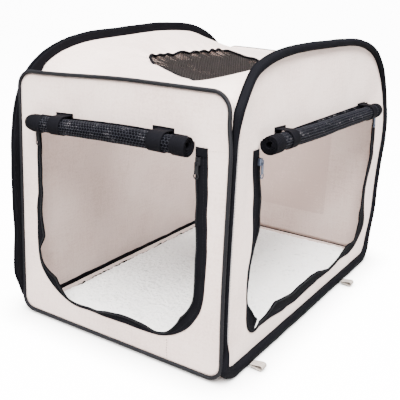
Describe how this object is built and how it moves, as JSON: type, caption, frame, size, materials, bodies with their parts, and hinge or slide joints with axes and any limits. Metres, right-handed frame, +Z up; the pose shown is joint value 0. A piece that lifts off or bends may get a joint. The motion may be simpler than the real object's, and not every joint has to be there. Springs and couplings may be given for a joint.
{
  "type": "folding dog crate",
  "caption": "Pop-up fabric crate with hooped side walls, rolled mesh doors on the front and side, a mesh roof window and a fleece mat.",
  "frame": {"origin": "on the ground at the middle of the crate, on the underside of the floor panel", "axes": "+X to the crate's right side, where the side door is, -Y out of the front door, +Z up"},
  "size_m": [0.489, 0.7094, 0.502],
  "materials": {
    "panel_cloth": "woven polyester, matt",
    "fleece": "deep looped fleece",
    "black_cloth": "woven tape and webbing, matt",
    "mesh_cloth": "open knitted mesh",
    "backing_cloth": "coated cloth, matt",
    "zip_plastic": "moulded nylon coil",
    "zip_metal": "plated, satin",
    "black_metal": "black lacquer",
    "spring_steel": "oiled",
    "webbing": "woven webbing"
  },
  "bodies": {
    "crate": {"left_side_panel": "panel_cloth", "left_hoop_binding": "black_cloth", "left_hoop_wire": "spring_steel", "front_panel": "panel_cloth", "front_piping": "black_cloth", "front_zip_tape": "black_cloth", "front_zip_coil": "zip_plastic", "front_door_roll": "mesh_cloth", "front_strap_base_left": "black_cloth", "front_strap_base_right": "black_cloth", "back_panel": "panel_cloth", "back_piping": "black_cloth", "back_pocket": "panel_cloth", "roof_panel": "panel_cloth", "roof_window_mesh": "mesh_cloth", "roof_window_binding": "black_cloth", "floor_panel": "panel_cloth"},
    "right_side": {"right_side_panel": "panel_cloth", "right_hoop_binding": "black_cloth", "right_hoop_wire": "spring_steel", "side_zip_tape": "black_cloth", "side_zip_coil": "zip_plastic", "side_door_roll": "mesh_cloth", "side_strap_base_near": "black_cloth", "side_strap_base_far": "black_cloth", "side_zip_end_near": "black_cloth", "side_zip_end_far": "black_cloth"},
    "mat": {"fleece_mat": "fleece", "mat_base": "backing_cloth"},
    "front_zip_end_left": {"front_zip_end_left": "black_cloth"},
    "front_zip_end_right": {"front_zip_end_right": "black_cloth"},
    "front_zip_slider_left": {"front_zip_slider_left": "black_metal"},
    "front_zip_pull_left": {"front_zip_pull_left": "black_metal"},
    "front_strap_left": {"front_strap_left": "black_cloth"},
    "front_zip_slider_right": {"front_zip_slider_right": "black_metal"},
    "front_zip_pull_right": {"front_zip_pull_right": "black_metal"},
    "front_strap_right": {"front_strap_right": "black_cloth"},
    "side_zip_slider_near": {"side_zip_slider_near": "zip_metal"},
    "side_zip_pull_near": {"side_zip_pull_near": "zip_metal"},
    "side_strap_near": {"side_strap_near": "black_cloth"},
    "side_zip_slider_far": {"side_zip_slider_far": "zip_metal"},
    "side_zip_pull_far": {"side_zip_pull_far": "zip_metal"},
    "side_strap_far": {"side_strap_far": "black_cloth"},
    "right_peg_loop_front": {"right_peg_loop_front": "webbing"},
    "right_peg_loop_back": {"right_peg_loop_back": "webbing"},
    "left_peg_loop_front": {"left_peg_loop_front": "webbing"},
    "left_peg_loop_back": {"left_peg_loop_back": "webbing"}
  },
  "joints": [
    {"name": "side_fold", "type": "slide", "parent": "crate", "child": "right_side", "axis": [-1, 0, 0], "range_m": [0, 0.345], "deforming": ["floor_panel", "front_panel", "back_panel", "roof_panel", "front_piping", "back_piping", "roof_window_mesh", "roof_window_binding", "back_pocket", "front_zip_tape", "front_zip_coil", "front_door_roll", "front_strap_base_left", "front_strap_base_right", "front_strap_left", "front_strap_right", "fleece_mat", "mat_base"]},
    {"name": "front_zip_end_left_shift", "type": "slide", "parent": "crate", "child": "front_zip_end_left", "axis": [-1, 0, 0], "range_m": [0, 0.022]},
    {"name": "front_zip_end_right_shift", "type": "slide", "parent": "crate", "child": "front_zip_end_right", "axis": [-1, 0, 0], "range_m": [0, 0.323]},
    {"name": "front_zip_slider_left_run", "type": "slide", "parent": "front_zip_end_left", "child": "front_zip_slider_left", "axis": [0, 0, -1], "range_m": [0, 0.185]},
    {"name": "front_zip_pull_left_swing", "type": "hinge", "parent": "front_zip_slider_left", "child": "front_zip_pull_left", "pos_m": [-0.1565, -0.33252, 0.3458], "axis": [-1, 0, 0], "range_deg": [0, 95]},
    {"name": "front_strap_left_peel", "type": "hinge", "parent": "crate", "child": "front_strap_left", "pos_m": [-0.091, -0.3445, 0.35525], "axis": [1, 0, 0], "range_deg": [0, 120]},
    {"name": "front_zip_slider_right_run", "type": "slide", "parent": "front_zip_end_right", "child": "front_zip_slider_right", "axis": [0, 0, -1], "range_m": [0, 0.185]},
    {"name": "front_zip_pull_right_swing", "type": "hinge", "parent": "front_zip_slider_right", "child": "front_zip_pull_right", "pos_m": [0.1565, -0.33252, 0.3458], "axis": [-1, 0, 0], "range_deg": [0, 95]},
    {"name": "front_strap_right_peel", "type": "hinge", "parent": "crate", "child": "front_strap_right", "pos_m": [0.102, -0.3445, 0.35525], "axis": [1, 0, 0], "range_deg": [0, 120]},
    {"name": "side_zip_slider_near_run", "type": "slide", "parent": "right_side", "child": "side_zip_slider_near", "axis": [0.0314, 0, -0.9995], "range_m": [0, 0.21]},
    {"name": "side_zip_pull_near_swing", "type": "hinge", "parent": "side_zip_slider_near", "child": "side_zip_pull_near", "pos_m": [0.20706, -0.2285, 0.33287], "axis": [0, -1, 0], "range_deg": [0, 95]},
    {"name": "side_strap_near_peel", "type": "hinge", "parent": "right_side", "child": "side_strap_near", "pos_m": [0.21874, -0.167, 0.34269], "axis": [0, 1, 0], "range_deg": [0, 120]},
    {"name": "side_zip_slider_far_run", "type": "slide", "parent": "right_side", "child": "side_zip_slider_far", "axis": [0.0314, 0, -0.9995], "range_m": [0, 0.21]},
    {"name": "side_zip_pull_far_swing", "type": "hinge", "parent": "side_zip_slider_far", "child": "side_zip_pull_far", "pos_m": [0.20706, 0.2835, 0.33287], "axis": [0, -1, 0], "range_deg": [0, 95]},
    {"name": "side_strap_far_peel", "type": "hinge", "parent": "right_side", "child": "side_strap_far", "pos_m": [0.21874, 0.2, 0.34269], "axis": [0, 1, 0], "range_deg": [0, 120]},
    {"name": "mat_lift", "type": "slide", "parent": "crate", "child": "mat", "axis": [0, 0, 1], "range_m": [0, 0.25]},
    {"name": "right_peg_loop_front_swing", "type": "hinge", "parent": "right_side", "child": "right_peg_loop_front", "pos_m": [0.22203, -0.247, 0.00568], "axis": [0, -1, 0], "range_deg": [0, 75]},
    {"name": "right_peg_loop_back_swing", "type": "hinge", "parent": "right_side", "child": "right_peg_loop_back", "pos_m": [0.22203, 0.145, 0.00568], "axis": [0, -1, 0], "range_deg": [0, 75]},
    {"name": "left_peg_loop_front_swing", "type": "hinge", "parent": "crate", "child": "left_peg_loop_front", "pos_m": [-0.22203, -0.247, 0.00568], "axis": [0, 1, 0], "range_deg": [0, 75]},
    {"name": "left_peg_loop_back_swing", "type": "hinge", "parent": "crate", "child": "left_peg_loop_back", "pos_m": [-0.22203, 0.145, 0.00568], "axis": [0, 1, 0], "range_deg": [0, 75]}
  ],
  "couplings": [
    {"joint": "front_zip_end_left_shift", "follows": "side_fold", "ratio": 0.06376},
    {"joint": "front_zip_end_right_shift", "follows": "side_fold", "ratio": 0.93623}
  ]
}
